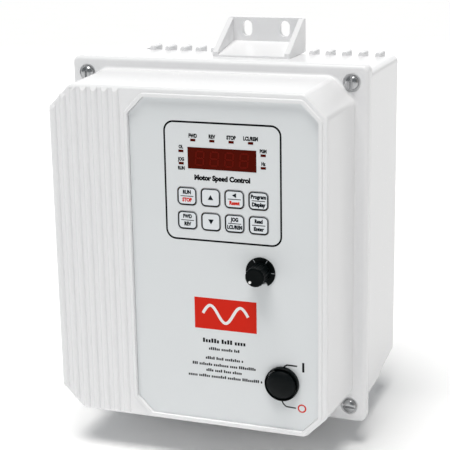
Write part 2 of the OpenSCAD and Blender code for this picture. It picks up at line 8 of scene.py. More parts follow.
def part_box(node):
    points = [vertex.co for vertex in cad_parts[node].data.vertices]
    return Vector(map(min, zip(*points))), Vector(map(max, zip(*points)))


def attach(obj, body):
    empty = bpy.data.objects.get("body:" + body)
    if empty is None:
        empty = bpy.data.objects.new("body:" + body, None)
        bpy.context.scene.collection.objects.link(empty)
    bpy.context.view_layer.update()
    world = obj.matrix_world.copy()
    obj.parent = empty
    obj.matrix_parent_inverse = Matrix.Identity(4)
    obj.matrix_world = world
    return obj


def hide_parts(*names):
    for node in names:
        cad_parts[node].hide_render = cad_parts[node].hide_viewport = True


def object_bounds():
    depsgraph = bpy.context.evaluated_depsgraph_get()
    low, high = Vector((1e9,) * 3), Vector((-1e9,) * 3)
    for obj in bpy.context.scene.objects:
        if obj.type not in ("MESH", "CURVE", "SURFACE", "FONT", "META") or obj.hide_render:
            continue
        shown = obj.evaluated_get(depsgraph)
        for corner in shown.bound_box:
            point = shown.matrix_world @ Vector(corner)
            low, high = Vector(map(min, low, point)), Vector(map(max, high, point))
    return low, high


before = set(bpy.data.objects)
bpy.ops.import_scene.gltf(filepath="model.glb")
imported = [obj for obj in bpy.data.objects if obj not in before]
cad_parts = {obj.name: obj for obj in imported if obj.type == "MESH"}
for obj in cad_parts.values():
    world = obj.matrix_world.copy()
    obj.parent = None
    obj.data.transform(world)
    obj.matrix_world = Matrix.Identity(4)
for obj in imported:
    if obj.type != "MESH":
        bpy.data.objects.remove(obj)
cad_low, cad_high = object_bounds()
MM = 0.001


# ---------------------------------------------------------------- camera and light

def aim(azimuth, elevation, roll):
    """Turn of a camera that looks along +Y at azimuth 0, rolled about its own line of sight."""
    a, e, r = (math.radians(v) for v in (azimuth, elevation, roll))
    ahead = Vector((-math.sin(a) * math.cos(e), math.cos(a) * math.cos(e), -math.sin(e)))
    right = Vector((math.cos(a), math.sin(a), 0))
    up = right.cross(ahead)
    side = right * math.cos(r) + up * math.sin(r)
    top = up * math.cos(r) - right * math.sin(r)
    return Matrix((side, top, -ahead)).transposed().to_4x4()


CAMERA_PLACE = (271.33, -804.38, 212.64)
CAMERA_AIM = (20.67, 15.10, -1.05)
CAMERA_LENS, CAMERA_SENSOR = 104.4, 36


def make_camera():
    camera = bpy.data.cameras.new("camera")
    camera.lens = CAMERA_LENS
    camera.sensor_width = CAMERA_SENSOR
    camera.clip_start = 0.05
    holder = bpy.data.objects.new("camera", camera)
    holder.matrix_world = Matrix.Translation(Vector(CAMERA_PLACE) * MM) @ aim(*CAMERA_AIM)
    bpy.context.scene.collection.objects.link(holder)
    bpy.context.scene.camera = holder


def softbox(name, place, target, size, power, shade=(1, 1, 1)):
    """A soft rectangular lamp at a place in metres, turned to face its target."""
    lamp = bpy.data.lights.new(name, "AREA")
    lamp.shape = "RECTANGLE"
    lamp.size, lamp.size_y = size
    lamp.energy = power
    lamp.color = shade
    holder = bpy.data.objects.new(name, lamp)
    place = Vector(place)
    holder.matrix_world = (Matrix.Translation(place)
                           @ (Vector(target) - place).to_track_quat("-Z", "Y").to_matrix().to_4x4())
    bpy.context.scene.collection.objects.link(holder)


def sunlight(name, azimuth, elevation, strength, spread, shade=(1, 1, 1)):
    """An even soft light from far away; azimuth 0 comes from the front, positive from the right."""
    lamp = bpy.data.lights.new(name, "SUN")
    lamp.energy = strength
    lamp.angle = math.radians(spread)
    lamp.color = shade
    holder = bpy.data.objects.new(name, lamp)
    a, e = math.radians(azimuth), math.radians(elevation)
    source = Vector((math.sin(a) * math.cos(e), -math.cos(a) * math.cos(e), math.sin(e)))
    holder.matrix_world = source.to_track_quat("Z", "Y").to_matrix().to_4x4()
    bpy.context.scene.collection.objects.link(holder)


def make_studio():
    world = bpy.data.worlds.new("studio")
    bpy.context.scene.world = world
    world.use_nodes = True
    sky = world.node_tree.nodes["Background"]
    sky.inputs["Color"].default_value = (0.90, 0.96, 1.0, 1)
    sky.inputs["Strength"].default_value = 0.24
    sunlight("overhead", -6, 76, 2.7, 34, (1.0, 0.985, 0.965))
    softbox("right_fill", (0.95, -0.15, 0.25), (0.09, -0.07, 0), (0.5, 0.9), 0.12, (1.0, 0.5, 0.1))
    softbox("back_glow", (-0.5, 1.5, 0.6), (0, 0, 0.1), (2.4, 0.9), 7.0)
    floor_mesh = bpy.data.meshes.new("floor")
    bm = bmesh.new()
    bmesh.ops.create_grid(bm, x_segments=1, y_segments=1, size=8)
    bmesh.ops.translate(bm, verts=bm.verts, vec=(0, 0, cad_low.z - 0.0005))
    bm.to_mesh(floor_mesh)
    bm.free()
    floor = bpy.data.objects.new("floor", floor_mesh)
    bpy.context.scene.collection.objects.link(floor)
    floor.data.materials.append(studio_floor())
    bpy.context.scene.view_settings.view_transform = "Standard"


# ---------------------------------------------------------------- materials

def colour(text):
    """sRGB hex to the linear values that Blender's sockets take."""
    parts = [int(text[i:i + 2], 16) / 255 for i in (0, 2, 4)]
    return [p / 12.92 if p <= 0.04045 else ((p + 0.055) / 1.055) ** 2.4 for p in parts] + [1]


def add(tree, kind, settings=(), **links):
    """Adds a node, sets its properties and constant inputs, and links the inputs given as sockets."""
    node = tree.nodes.new("ShaderNode" + kind)
    for key, value in dict(settings).items():
        if hasattr(node, key):
            setattr(node, key, value)
        else:
            node.inputs[key].default_value = value
    for key, socket in links.items():
        tree.links.new(node.inputs[key], socket)
    return node


def material(name, shade, rough, **extra):
    """A Principled material whose sockets in extra are constants."""
    made = bpy.data.materials.new(name)
    made.use_nodes = True
    tree = made.node_tree
    skin = tree.nodes["Principled BSDF"]
    skin.inputs["Base Color"].default_value = colour(shade)
    skin.inputs["Roughness"].default_value = rough
    for key, value in extra.items():
        skin.inputs[key.replace("_", " ")].default_value = value
    made.diffuse_color = colour(shade)
    return made, tree, skin


def surface(tree, skin, shade, shade2, size, bump, rough, rough2, edge=0.0):
    """Mottles the colour and the roughness at a size in mm, adds a bump in mm and rounds edges."""
    place = add(tree, "TexCoord").outputs["Object"]
    grain = add(tree, "TexNoise", {"Scale": 1 / (size * MM), "Detail": 3.0}, Vector=place)
    tint = add(tree, "Mix", {"data_type": "RGBA"}, Factor=grain.outputs["Fac"])
    tint.inputs["A"].default_value = colour(shade)
    tint.inputs["B"].default_value = colour(shade2)
    tree.links.new(skin.inputs["Base Color"], tint.outputs["Result"])
    spread = add(tree, "MapRange", {"To Min": rough, "To Max": rough2}, Value=grain.outputs["Fac"])
    tree.links.new(skin.inputs["Roughness"], spread.outputs["Result"])
    relief = add(tree, "Bump", {"Strength": 1.0, "Distance": bump * MM}, Height=grain.outputs["Fac"])
    if edge:
        soft = add(tree, "Bevel", {"samples": 4, "Radius": edge * MM})
        tree.links.new(relief.inputs["Normal"], soft.outputs["Normal"])
    tree.links.new(skin.inputs["Normal"], relief.outputs["Normal"])
    return place, tint


def studio_floor():
    """A plain pale paper sweep."""
    made, tree, skin = material("white_paper", "FFFFFF", 0.9)
    surface(tree, skin, "FFFFFF", "FCFCFC", 60, 0.05, 0.9, 0.95)
    return made


def white_enamel():
    """Gloss polyester powder coat on die-cast aluminium: a faint orange peel about 2 mm across."""
    made, tree, skin = material("white_powder_coat", "F2F2F3", 0.24, IOR=1.5)
    surface(tree, skin, "F3F3F4", "F0F0F1", 2.2, 0.012, 0.20, 0.30, edge=0.35)
    return made


def plain(name, shade, shade2, rough, size=0.6, bump=0.01, edge=0.15, **extra):
    """A moulded, printed or coated finish in two close shades; size, bump and edge are in mm."""
    made, tree, skin = material(name, shade, rough, **extra)
    surface(tree, skin, shade, shade2, size, bump, rough * 0.85, min(1, rough * 1.2), edge=edge)
    return made


def brushed_steel():
    """Bright zinc-plated steel: fine turning marks that stretch the highlight."""
    made, tree, skin = material("zinc_plated_steel", "B9BABB", 0.22, Metallic=1.0)
    surface(tree, skin, "C4C5C6", "A2A3A5", 0.25, 0.004, 0.16, 0.32, edge=0.12)
    return made


def circuit_board():
    """FR-4 under green solder mask: darker bare laminate and copper tracks showing through, 0.8 mm wide."""
    made, tree, skin = material("green_solder_mask", "0E4A2B", 0.28, IOR=1.5)
    place, tint = surface(tree, skin, "0F4C2C", "0A3B22", 3.0, 0.01, 0.22, 0.34, edge=0.1)
    turn = add(tree, "Mapping", {"Scale": (420, 420, 420)}, Vector=place)
    tracks = add(tree, "TexBrick", {"Scale": 1.0, "Mortar Size": 0.07, "Brick Width": 2.6,
                                    "Row Height": 0.9, "Color1": colour("2A7A48"),
                                    "Color2": colour("1B5E36"), "Mortar": colour("0B3F24")},
                 Vector=turn.outputs["Vector"])
    blotches = add(tree, "TexNoise", {"Scale": 70.0, "Detail": 1.0}, Vector=place)
    where = add(tree, "MapRange", {"From Min": 0.48, "From Max": 0.55}, Value=blotches.outputs["Fac"])
    show = add(tree, "Mix", {"data_type": "RGBA"}, Factor=where.outputs["Result"])
    tree.links.new(show.inputs["A"], tint.outputs["Result"])
    tree.links.new(show.inputs["B"], tracks.outputs["Color"])
    tree.links.new(skin.inputs["Base Color"], show.outputs["Result"])
    return made


MATERIALS = {
    "enamel": white_enamel(),
    "steel": brushed_steel(),
    "board": circuit_board(),
    # Screen-printed polyester overlay, finely grained, under a satin hard coat
    "label": plain("velvet_polyester_film", "E6E9EA", "E3E6E8", 0.42, 0.5, 0.006, 0.1, IOR=1.57),
    "key": plain("embossed_polyester_film", "EAEEF1", "E7EBEE", 0.36, 0.5, 0.006, 0.1, IOR=1.57),
    # Screen-printing inks: dense and flat, with almost no shine
    "black_ink": plain("black_screen_ink", "090B0E", "0D0F12", 0.6, 0.4, 0.004, 0, Specular_IOR_Level=0.08),
    "slate_ink": plain("slate_screen_ink", "10161D", "141B23", 0.6, 0.4, 0.004, 0, Specular_IOR_Level=0.08),
    "red_ink": plain("red_screen_ink", "DC2A1A", "D62717", 0.45, 0.4, 0.004, 0, Specular_IOR_Level=0.08),
    "white_ink": plain("white_screen_ink", "F4F4F2", "EEEEEC", 0.45, 0.4, 0.004, 0),
    "grey_ink": plain("grey_screen_ink", "A9ACAF", "9EA1A4", 0.5, 0.4, 0.004, 0),
    # Tinted acrylic over dark electronics, and the unlit segments that just show through it
    "window": plain("dark_red_acrylic", "560D01", "4E0B01", 0.2, 4, 0.002, 0.1, IOR=1.49,
                    Specular_IOR_Level=0.04),
    "segment": plain("unlit_red_led", "681004", "600E03", 0.3, 0.5, 0.002, 0, Specular_IOR_Level=0.04),
    # Phenolic and ABS mouldings, lightly spark-eroded: near black, the ABS duller
    "phenolic": plain("black_phenolic", "040808", "070C0D", 0.3, 0.5, 0.006, 0.15, IOR=1.5,
                      Specular_IOR_Level=0.07),
    "abs": plain("black_abs", "141415", "1B1B1D", 0.5, 0.35, 0.02, 0.2),
    # Moulded silicone: a broad, weak sheen
    "boot": plain("black_silicone_rubber", "030809", "060B0D", 0.5, 0.4, 0.01, 0.2, IOR=1.43,
                  Specular_IOR_Level=0.16),
    # Open foam: black with no shine
    "gasket": plain("black_neoprene_foam", "101010", "191919", 0.85, 0.5, 0.05, 0.1),
    # Shrunk sleeve: smooth, with a tight highlight
    "sleeve": plain("navy_pvc_sleeve", "10162A", "0C1122", 0.3, 2, 0.01, 0.3),
    # Sintered core: rough, grey and slightly chipped at its edges
    "ferrite": plain("grey_ferrite", "3C3E3D", "303231", 0.6, 0.6, 0.03, 0.4),
    # Wound wire under clear varnish: warm and shiny
    "copper": plain("enamelled_copper", "B5622A", "9C4F1E", 0.3, 0.8, 0.01, 0.2, Metallic=0.9),
    # Moulded polyester and nylon parts: satin
    "ivory": plain("ivory_pbt", "DDD8C8", "D6D1BF", 0.45, 0.5, 0.01, 0.2),
    "green": plain("green_polyamide", "1C6B3A", "185F33", 0.45, 0.5, 0.01, 0.2),
    # Plated screw heads: a green metal sheen
    "green_steel": plain("green_chromate_steel", "3F8F4E", "357E44", 0.35, 0.3, 0.005, 0.15, Metallic=0.8),
    # Flexible circuit: a thin, clear brown film
    "amber": plain("amber_polyimide", "A9741E", "98661A", 0.3, 1, 0.004, 0.05),
    # Frosted guard: lets the board show dimly
    "clear": plain("frosted_polycarbonate", "D5D9D6", "CDD2CE", 0.35, 1, 0.004, 0.1,
                   Transmission_Weight=0.6, IOR=1.58),
    # Pressed phenolic case of the potentiometer: dull green
    "pot": plain("dark_green_phenolic", "22352B", "1C2C24", 0.45, 0.5, 0.01, 0.2),
}

NODE_FINISH = {
    "enamel": ["heat_sink", "top_bracket", "bottom_bracket", "base_housing", "cover_shell"],
    "steel": ["hinge_pins", "power_board_screws", "power_terminal_screws", "board_spacers",
              "shield_screws", "speed_pot_nut", "speed_shaft", "keypad_domes",
              "cover_screw_top_left", "cover_screw_top_right", "cover_screw_bottom_left",
              "cover_screw_bottom_right"],
    "board": ["power_board", "control_board"],
    "abs": ["power_module", "supply_transformer", "power_terminals", "conduit_plug",
            "conduit_locknut", "board_socket", "control_chips", "switch_body",
            "display_module", "switch_rocker"],
    "gasket": ["cover_gasket", "conduit_plug_seal"],
    "sleeve": ["bus_capacitors"], "ferrite": ["line_choke_core"], "copper": ["line_choke_winding"],
    "ivory": ["precharge_relay"], "green": ["control_terminals"], "green_steel": ["ground_screws"],
    "label": ["label_film"], "window": ["display_window", "indicator_lenses"],
    "segment": ["indicator_leds"], "amber": ["keypad_circuit"], "clear": ["board_shield"],
    "phenolic": ["speed_dial", "speed_knob", "switch_bezel"], "boot": ["switch_cap"],
    "white_ink": ["knob_pointer"], "pot": ["speed_pot"],
}


def finish_nodes():
    """Gives each CAD node its finish."""
    for finish, names in NODE_FINISH.items():
        for name in names:
            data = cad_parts[name].data
            data.materials.clear()
            data.materials.append(MATERIALS[finish])


# ---------------------------------------------------------------- mesh helpers

def octagon(w, h, c, x=0.0, z=0.0):
    """Outline of a rectangle whose corners are cut off by c."""
    a, b = w / 2, h / 2
    return [(x + px, z + pz) for px, pz in
            ((a, b - c), (a - c, b), (c - a, b), (-a, b - c),
             (-a, c - b), (c - a, -b), (a - c, -b), (a, c - b))]


def rectangle(w, h, x=0.0, z=0.0):
    return [(x + w / 2, z - h / 2), (x + w / 2, z + h / 2), (x - w / 2, z + h / 2), (x - w / 2, z - h / 2)]


def sheet_face(bm, outline, y, corner=0.0, segments=5):
    """One flat face in the XZ plane at depth y, with its corners rounded. Returns its vertices."""
    before = set(bm.verts)
    face = bm.faces.new([bm.verts.new((px * MM, y * MM, pz * MM)) for px, pz in outline])
    if corner:
        bmesh.ops.bevel(bm, geom=[v for v in bm.verts if v not in before], offset=corner * MM,
                        segments=segments, profile=0.5, affect="VERTICES", material=-1)
    return [v for v in bm.verts if v not in before]


def prism(outline, y0, y1, corner=0.0, segments=5, front=0.0, back=0.0, taper=(1, 1)):
    """A solid between two depths. Its front and back rims can be rounded, and its front tapered."""
    bm = bmesh.new()
    verts = sheet_face(bm, outline, y1, corner, segments)
    grown = bmesh.ops.extrude_face_region(bm, geom=bm.faces[:])["geom"]
    fore = [g for g in grown if isinstance(g, bmesh.types.BMVert)]
    centre = sum((v.co for v in fore), Vector()) / len(fore)
    bmesh.ops.translate(bm, verts=fore, vec=(0, (y0 - y1) * MM, 0))
    bmesh.ops.scale(bm, verts=fore, vec=(taper[0], 1, taper[1]), space=Matrix.Translation(-centre))
    bmesh.ops.recalc_face_normals(bm, faces=bm.faces)
    for size, depth in ((front, y0), (back, y1)):
        if size:
            rim = [e for e in bm.edges if all(abs(v.co.y - depth * MM) < 1e-7 for v in e.verts)]
            bmesh.ops.bevel(bm, geom=rim, offset=size * MM, segments=4, profile=0.5,
                            affect="EDGES", material=-1)
    return bm


def turned(profile, segments=48):
    """A solid of revolution about the Z axis from (radius, height) points in mm, base to tip."""
    bm = bmesh.new()
    points = [bm.verts.new((r * MM, 0, h * MM)) for r, h in profile]
    edges = [bm.edges.new(pair) for pair in zip(points, points[1:])]
    bmesh.ops.spin(bm, geom=points + edges, cent=(0, 0, 0), axis=(0, 0, 1), angle=math.tau,
                   steps=segments, use_merge=True)
    bmesh.ops.remove_doubles(bm, verts=bm.verts, dist=1e-6)
    bmesh.ops.recalc_face_normals(bm, faces=bm.faces)
    return bm


def face_front(bm, x, y, z):
    """Turns a solid made along +Z to point out of the front, and moves it into place (mm)."""
    bmesh.ops.transform(bm, matrix=Matrix.Translation(Vector((x, y, z)) * MM)
                        @ Matrix.Rotation(math.radians(90), 4, "X"), verts=bm.verts)
    return bm


def rod(x, z, y0, y1, r, segments=48):
    """A cylinder along Y (mm)."""
    return face_front(turned([(0, 0), (r, 0), (r, y1 - y0), (0, y1 - y0)], segments), x, y1, z)


def upright(x, y, z0, z1, r, segments=32):
    """A cylinder along Z (mm)."""
    bm = turned([(0, z0), (r, z0), (r, z1), (0, z1)], segments)
    bmesh.ops.translate(bm, verts=bm.verts, vec=(x * MM, y * MM, 0))
    return bm


def box(x0, x1, y0, y1, z0, z1, soft=0.0):
    """A block between two corners (mm), with its edges rounded by soft."""
    bm = bmesh.new()
    bmesh.ops.create_cube(bm, size=1)
    bmesh.ops.scale(bm, verts=bm.verts, vec=((x1 - x0) * MM, (y1 - y0) * MM, (z1 - z0) * MM))
    bmesh.ops.translate(bm, verts=bm.verts,
                        vec=((x0 + x1) / 2 * MM, (y0 + y1) / 2 * MM, (z0 + z1) / 2 * MM))
    if soft:
        bmesh.ops.bevel(bm, geom=bm.edges[:], offset=soft * MM, segments=3, profile=0.5,
                        affect="EDGES", material=-1)
    return bm


def merge(parts):
    """Joins several bmesh solids into one mesh without cutting them."""
    whole = bmesh.new()
    for part in parts:
        mesh = bpy.data.meshes.new("part")
        part.to_mesh(mesh)
        part.free()
        whole.from_mesh(mesh)
        bpy.data.meshes.remove(mesh)
    return whole


def piece(name, bm, finishes):
    """Makes an object of a bmesh, in one finish, several or none."""
    mesh = bpy.data.meshes.new(name)
    bm.to_mesh(mesh)
    bm.free()
    made = bpy.data.objects.new(name, mesh)
    bpy.context.scene.collection.objects.link(made)
    for finish in [finishes] if isinstance(finishes, str) else finishes:
        mesh.materials.append(MATERIALS[finish])
    return made


def carve(target, steps):
    """Applies a list of (operation, bmesh) Boolean steps to the target in one go."""
    tools = []
    for operation, bm in steps:
        tools.append(piece("tool", bm, []))
        step = target.modifiers.new("carve", "BOOLEAN")
        step.object, step.operation, step.solver = tools[-1], operation, "EXACT"
    graph = bpy.context.evaluated_depsgraph_get()
    made = bpy.data.meshes.new_from_object(target.evaluated_get(graph))
    target.modifiers.clear()
    old, target.data = target.data, made
    made.name = target.name
    bpy.data.meshes.remove(old)
    for tool in tools:
        bpy.data.objects.remove(tool)


def smooth(made, angle=32):
    """Shades smoothly across every edge flatter than the angle."""
    made.data.polygons.foreach_set("use_smooth", [True] * len(made.data.polygons))
    made.data.set_sharp_from_angle(angle=math.radians(angle))
    even = made.modifiers.new("even_normals", "WEIGHTED_NORMAL")
    even.keep_sharp = True
    even.weight = 80


def settle(made, body, slot, *nodes):
    """Puts a piece on its body, in the place of the nodes it stands for. The slot is not used."""
    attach(made, body)
    if nodes:
        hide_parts(*nodes)


def in_mm(node):
    """Low and high corners of a node, in mm."""
    low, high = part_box(node)
    return low / MM, high / MM


def middle(node):
    low, high = in_mm(node)
    return (low + high) / 2


# ---------------------------------------------------------------- driving places, from the frame

SHELL_LOW, SHELL_HIGH = in_mm("cover_shell")
LABEL_LOW, LABEL_HIGH = in_mm("label_film")
FLANGE_H = SHELL_HIGH.z - SHELL_LOW.z
FLANGE_W = 2 * SHELL_HIGH.x
SEAM = in_mm("cover_gasket")[0].y
LIP = 5.0
FLANGE_FRONT = SEAM - LIP
FRONT = LABEL_LOW.y - 1.5
RECESS = LABEL_HIGH.y
PANEL_BACK = RECESS + 3.5
COVER_W, COVER_H, COVER_C, DRAFT = 165.6, 197.4, 13.0, 1.8
LABEL_MID = (LABEL_LOW + LABEL_HIGH) / 2
LABEL_W = LABEL_HIGH.x - LABEL_LOW.x + 0.4
LABEL_H = LABEL_HIGH.z - LABEL_LOW.z + 0.4
LABEL_C = 9.7
LABEL_FACE = LABEL_LOW.y
DISPLAY = middle("display_window")
KNOB = middle("speed_knob")
SWITCH = middle("switch_bezel")
SCREWS = {name: middle("cover_screw_" + name)
          for name in ("top_left", "top_right", "bottom_left", "bottom_right")}
HINGE = middle("hinge_pins")
HINGE_R, HINGE_Z, KNUCKLE = 3.6, 56.0, 6.0
BASE_W, BASE_TOP, BASE_BOTTOM = 171.6, 100.5, 104.5
WALL = 3.5


def islands(node):
    """Middles of the separate solids in a node, from its loose parts."""
    bm = bmesh.new()
    bm.from_mesh(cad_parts[node].data)
    bmesh.ops.remove_doubles(bm, verts=bm.verts, dist=1e-6)
    left, spots = set(bm.verts), []
    while left:
        group, edge = set(), [left.pop()]
        while edge:
            v = edge.pop()
            group.add(v)
            near = {o for e in v.link_edges for o in e.verts} & left
            left -= near
            edge.extend(near)
        low = Vector(min(v.co[i] for v in group) for i in range(3))
        high = Vector(max(v.co[i] for v in group) for i in range(3))
        spots.append((low + high) / 2 / MM)
    bm.free()
    return spots


# ---------------------------------------------------------------- cover casting

def cover_block():
    """The draughted eight-sided body, with a fillet where it meets the flange."""
    fillet = 1.6
    back_w, back_h = COVER_W + 2 * DRAFT, COVER_H + 2 * DRAFT
    chamfer = COVER_C * back_w / COVER_W
    bm = prism(octagon(back_w, back_h, chamfer), FRONT, FLANGE_FRONT + 1, corner=2.0, segments=4,
               front=1.5, taper=(COVER_W / back_w, COVER_H / back_h))
    skirt = bmesh.new()
    sheet_face(skirt, octagon(back_w + 2 * fillet, back_h + 2 * fillet, chamfer + 0.6 * fillet),
               FLANGE_FRONT - 0.02, 3.6, 4)
    top = skirt.faces[:][0]
    if top.normal.y > 0:
        bmesh.ops.reverse_faces(skirt, faces=[top])
    base = bmesh.ops.extrude_face_region(skirt, geom=[top])["geom"]
    fore = [g for g in base if isinstance(g, bmesh.types.BMVert)]
    bmesh.ops.translate(skirt, verts=fore, vec=(0, -0.02 * MM, 0))
    cap = [g for g in base if isinstance(g, bmesh.types.BMFace)][0]
    steps = 5
    for i in range(steps):
        a0, a1 = (math.radians(90 * k / steps) for k in (i, i + 1))
        bmesh.ops.inset_individual(skirt, faces=[cap], thickness=fillet * MM * (math.sin(a1) - math.sin(a0)),
                                   depth=fillet * MM * (math.cos(a0) - math.cos(a1)), use_even_offset=True)
    bmesh.ops.recalc_face_normals(skirt, faces=skirt.faces)
    return bm, skirt


def cover_ribs():
    """Half-round cast ribs whose ends slope back to the face."""
    rise, radius, pitch, first, count = 1.5, 2.2, 6.65, -80.7, 7
    edge_x, edge_z = COVER_W / 2 - 0.4, COVER_H / 2 - 0.9
    ribs = []
    for i in range(count):
        x = first + i * pitch
        reach = min(edge_z, edge_z - COVER_C + (x + edge_x))
        bm = bmesh.new()
        arc = [(x + radius * math.sin(a), FRONT - rise + radius - radius * math.cos(a))
               for a in (math.radians(d) for d in range(-90, 91, 18))]
        outline = [(x - radius, FRONT + 1)] + arc + [(x + radius, FRONT + 1)]
        bm.faces.new([bm.verts.new((px * MM, py * MM, -reach * MM)) for px, py in outline])
        grown = bmesh.ops.extrude_face_region(bm, geom=bm.faces[:])["geom"]
        bmesh.ops.translate(bm, verts=[g for g in grown if isinstance(g, bmesh.types.BMVert)],
                            vec=(0, 0, 2 * reach * MM))
        for end in (-1, 1):
            slopes = [((x, FRONT, end * reach), (0, -1.5, end))]
            if reach < edge_z or x - radius + edge_x < COVER_C:
                slopes.append(((-edge_x, FRONT, end * (edge_z - COVER_C)), (-0.7, -1.5, 0.7 * end)))
            for spot, out in slopes:
                cut = bmesh.ops.bisect_plane(bm, geom=bm.verts[:] + bm.edges[:] + bm.faces[:],
                                             plane_co=Vector(spot) * MM, plane_no=Vector(out),
                                             clear_outer=True)["geom_cut"]
                rim = [g for g in cut if isinstance(g, bmesh.types.BMEdge)]
                bmesh.ops.contextual_create(bm, geom=rim)
        bmesh.ops.recalc_face_normals(bm, faces=bm.faces)
        ribs.append(bm)
    return merge(ribs)


def label_bead():
    """Rounded bead round the label recess: an outer prism, hollowed by a smaller one."""
    wide, rise = 2.2, 0.8
    mid = (LABEL_MID.x, LABEL_MID.z)
    return prism(octagon(LABEL_W + 2 * wide, LABEL_H + 2 * wide, LABEL_C + 1.3, *mid),
                 FRONT - rise, FRONT + 1, corner=1.5, segments=3, front=0.75)


def knuckles(spans, side):
    """Hinge knuckles and the webs that join them to a flange; side is -1 for the front of the seam."""
    made = []
    for z0, z1 in spans:
        bm = upright(HINGE.x, SEAM, z0, z1, HINGE_R)
        web = box(HINGE.x, HINGE.x + HINGE_R + 3, *sorted((SEAM, SEAM + side * HINGE_R)), z0, z1)
        joined = piece("knuckle", bm, [])
        carve(joined, [("UNION", web)])
        made.append(bmesh.new())
        made[-1].from_mesh(joined.data)
        bpy.data.objects.remove(joined)
    return merge(made)


def build_cover():
    shell = piece("cover_casting", prism(rectangle(FLANGE_W, FLANGE_H), FLANGE_FRONT, SEAM, corner=4,
                                         segments=6, front=2.4, back=0.4), "enamel")
    block, skirt = cover_block()
    back_w, back_h = COVER_W + 2 * DRAFT - 2 * WALL, COVER_H + 2 * DRAFT - 2 * WALL
    cavity = prism(octagon(back_w, back_h, COVER_C - 2), PANEL_BACK, SEAM + 1, corner=2, segments=3,
                   front=1.5, taper=((COVER_W - 2 * WALL) / back_w, (COVER_H - 2 * WALL) / back_h))
    panel = [prism(octagon(LABEL_W, LABEL_H, LABEL_C, LABEL_MID.x, LABEL_MID.z), FRONT - 3, RECESS,
                   corner=0.6, segments=2)]
    low, high = in_mm("keypad_circuit")
    holes = [box(low.x - 0.3, high.x + 0.3, RECESS - 1, high.y, low.z - 0.3, high.z + 0.3)]
    low, high = in_mm("display_window")
    holes.append(box(low.x, high.x, RECESS - 1, PANEL_BACK + 1, low.z, high.z))
    for spot in islands("indicator_lenses"):
        holes.append(box(spot.x - 1.5, spot.x + 1.5, RECESS - 1, PANEL_BACK + 1, spot.z - 0.7, spot.z + 0.7))
    holes.append(rod(KNOB.x, KNOB.z, RECESS - 1, RECESS + 1.8, 7))
    holes.append(rod(SWITCH.x, SWITCH.z, RECESS - 1, PANEL_BACK + 1, 8.6))
    seats = [rod(spot.x, spot.z, FLANGE_FRONT - 1, FLANGE_FRONT + 1, 5.2) for spot in SCREWS.values()]
    bores = [rod(spot.x, spot.z, FLANGE_FRONT - 1, SEAM + 1, 2.8, 32) for spot in SCREWS.values()]
    bores.append(rod(KNOB.x, KNOB.z, RECESS - 1, PANEL_BACK + 1, 4.8))
    bores += [upright(HINGE.x, SEAM, s * HINGE_Z - 17, s * HINGE_Z + 17, 1.55) for s in (-1, 1)]
    posts = [rod(spot.x, spot.z, in_mm("control_board")[0].y, PANEL_BACK + 0.5, 3.5, 24)
             for spot in islands("board_spacers")]
    spans = [(s * HINGE_Z - KNUCKLE, s * HINGE_Z + KNUCKLE) for s in (-1, 1)]
    # The control board's posts are put back after the hollow is cut
    carve(shell, [("UNION", skirt), ("UNION", block), ("UNION", label_bead()), ("UNION", cover_ribs()),
                  ("UNION", knuckles(spans, -1)), ("DIFFERENCE", cavity), ("DIFFERENCE", merge(panel)),
                  ("DIFFERENCE", merge(holes)), ("DIFFERENCE", merge(seats)), ("DIFFERENCE", merge(bores)),
                  ("UNION", merge(posts))])
    smooth(shell)
    settle(shell, "cover", "white_enamel", "cover_shell")


# ---------------------------------------------------------------- base casting

def base_side(width, inset, back, fore):
    """The base's side outline drawn in Y and Z and extruded along X, between two depths."""
    under = inset - BASE_BOTTOM + 3.8
    outline = [(fore, BASE_TOP - inset), (back, BASE_TOP - inset), (back, under + 0.114 * (back + 28)),
               (-28, under), (-36, inset - BASE_BOTTOM), (fore, inset - BASE_BOTTOM)]
    bm = bmesh.new()
    bm.faces.new([bm.verts.new((-width / 2 * MM, py * MM, pz * MM)) for py, pz in outline])
    grown = bmesh.ops.extrude_face_region(bm, geom=bm.faces[:])["geom"]
    bmesh.ops.translate(bm, verts=[g for g in grown if isinstance(g, bmesh.types.BMVert)],
                        vec=(width * MM, 0, 0))
    bmesh.ops.recalc_face_normals(bm, faces=bm.faces)
    return bm


def round_long_edges(bm, size, x_limit):
    """Rounds the edges that run back along the sides of the base, and its slopes."""
    edges = [e for e in bm.edges
             if all(abs(abs(v.co.x) - x_limit * MM) < 1e-6 for v in e.verts)
             and not all(v.co.y < (SEAM + 2) * MM for v in e.verts)
             and not all(v.co.y > -1e-6 for v in e.verts)]
    bmesh.ops.bevel(bm, geom=edges, offset=size * MM, segments=4, profile=0.5, affect="EDGES", material=-1)
    return bm


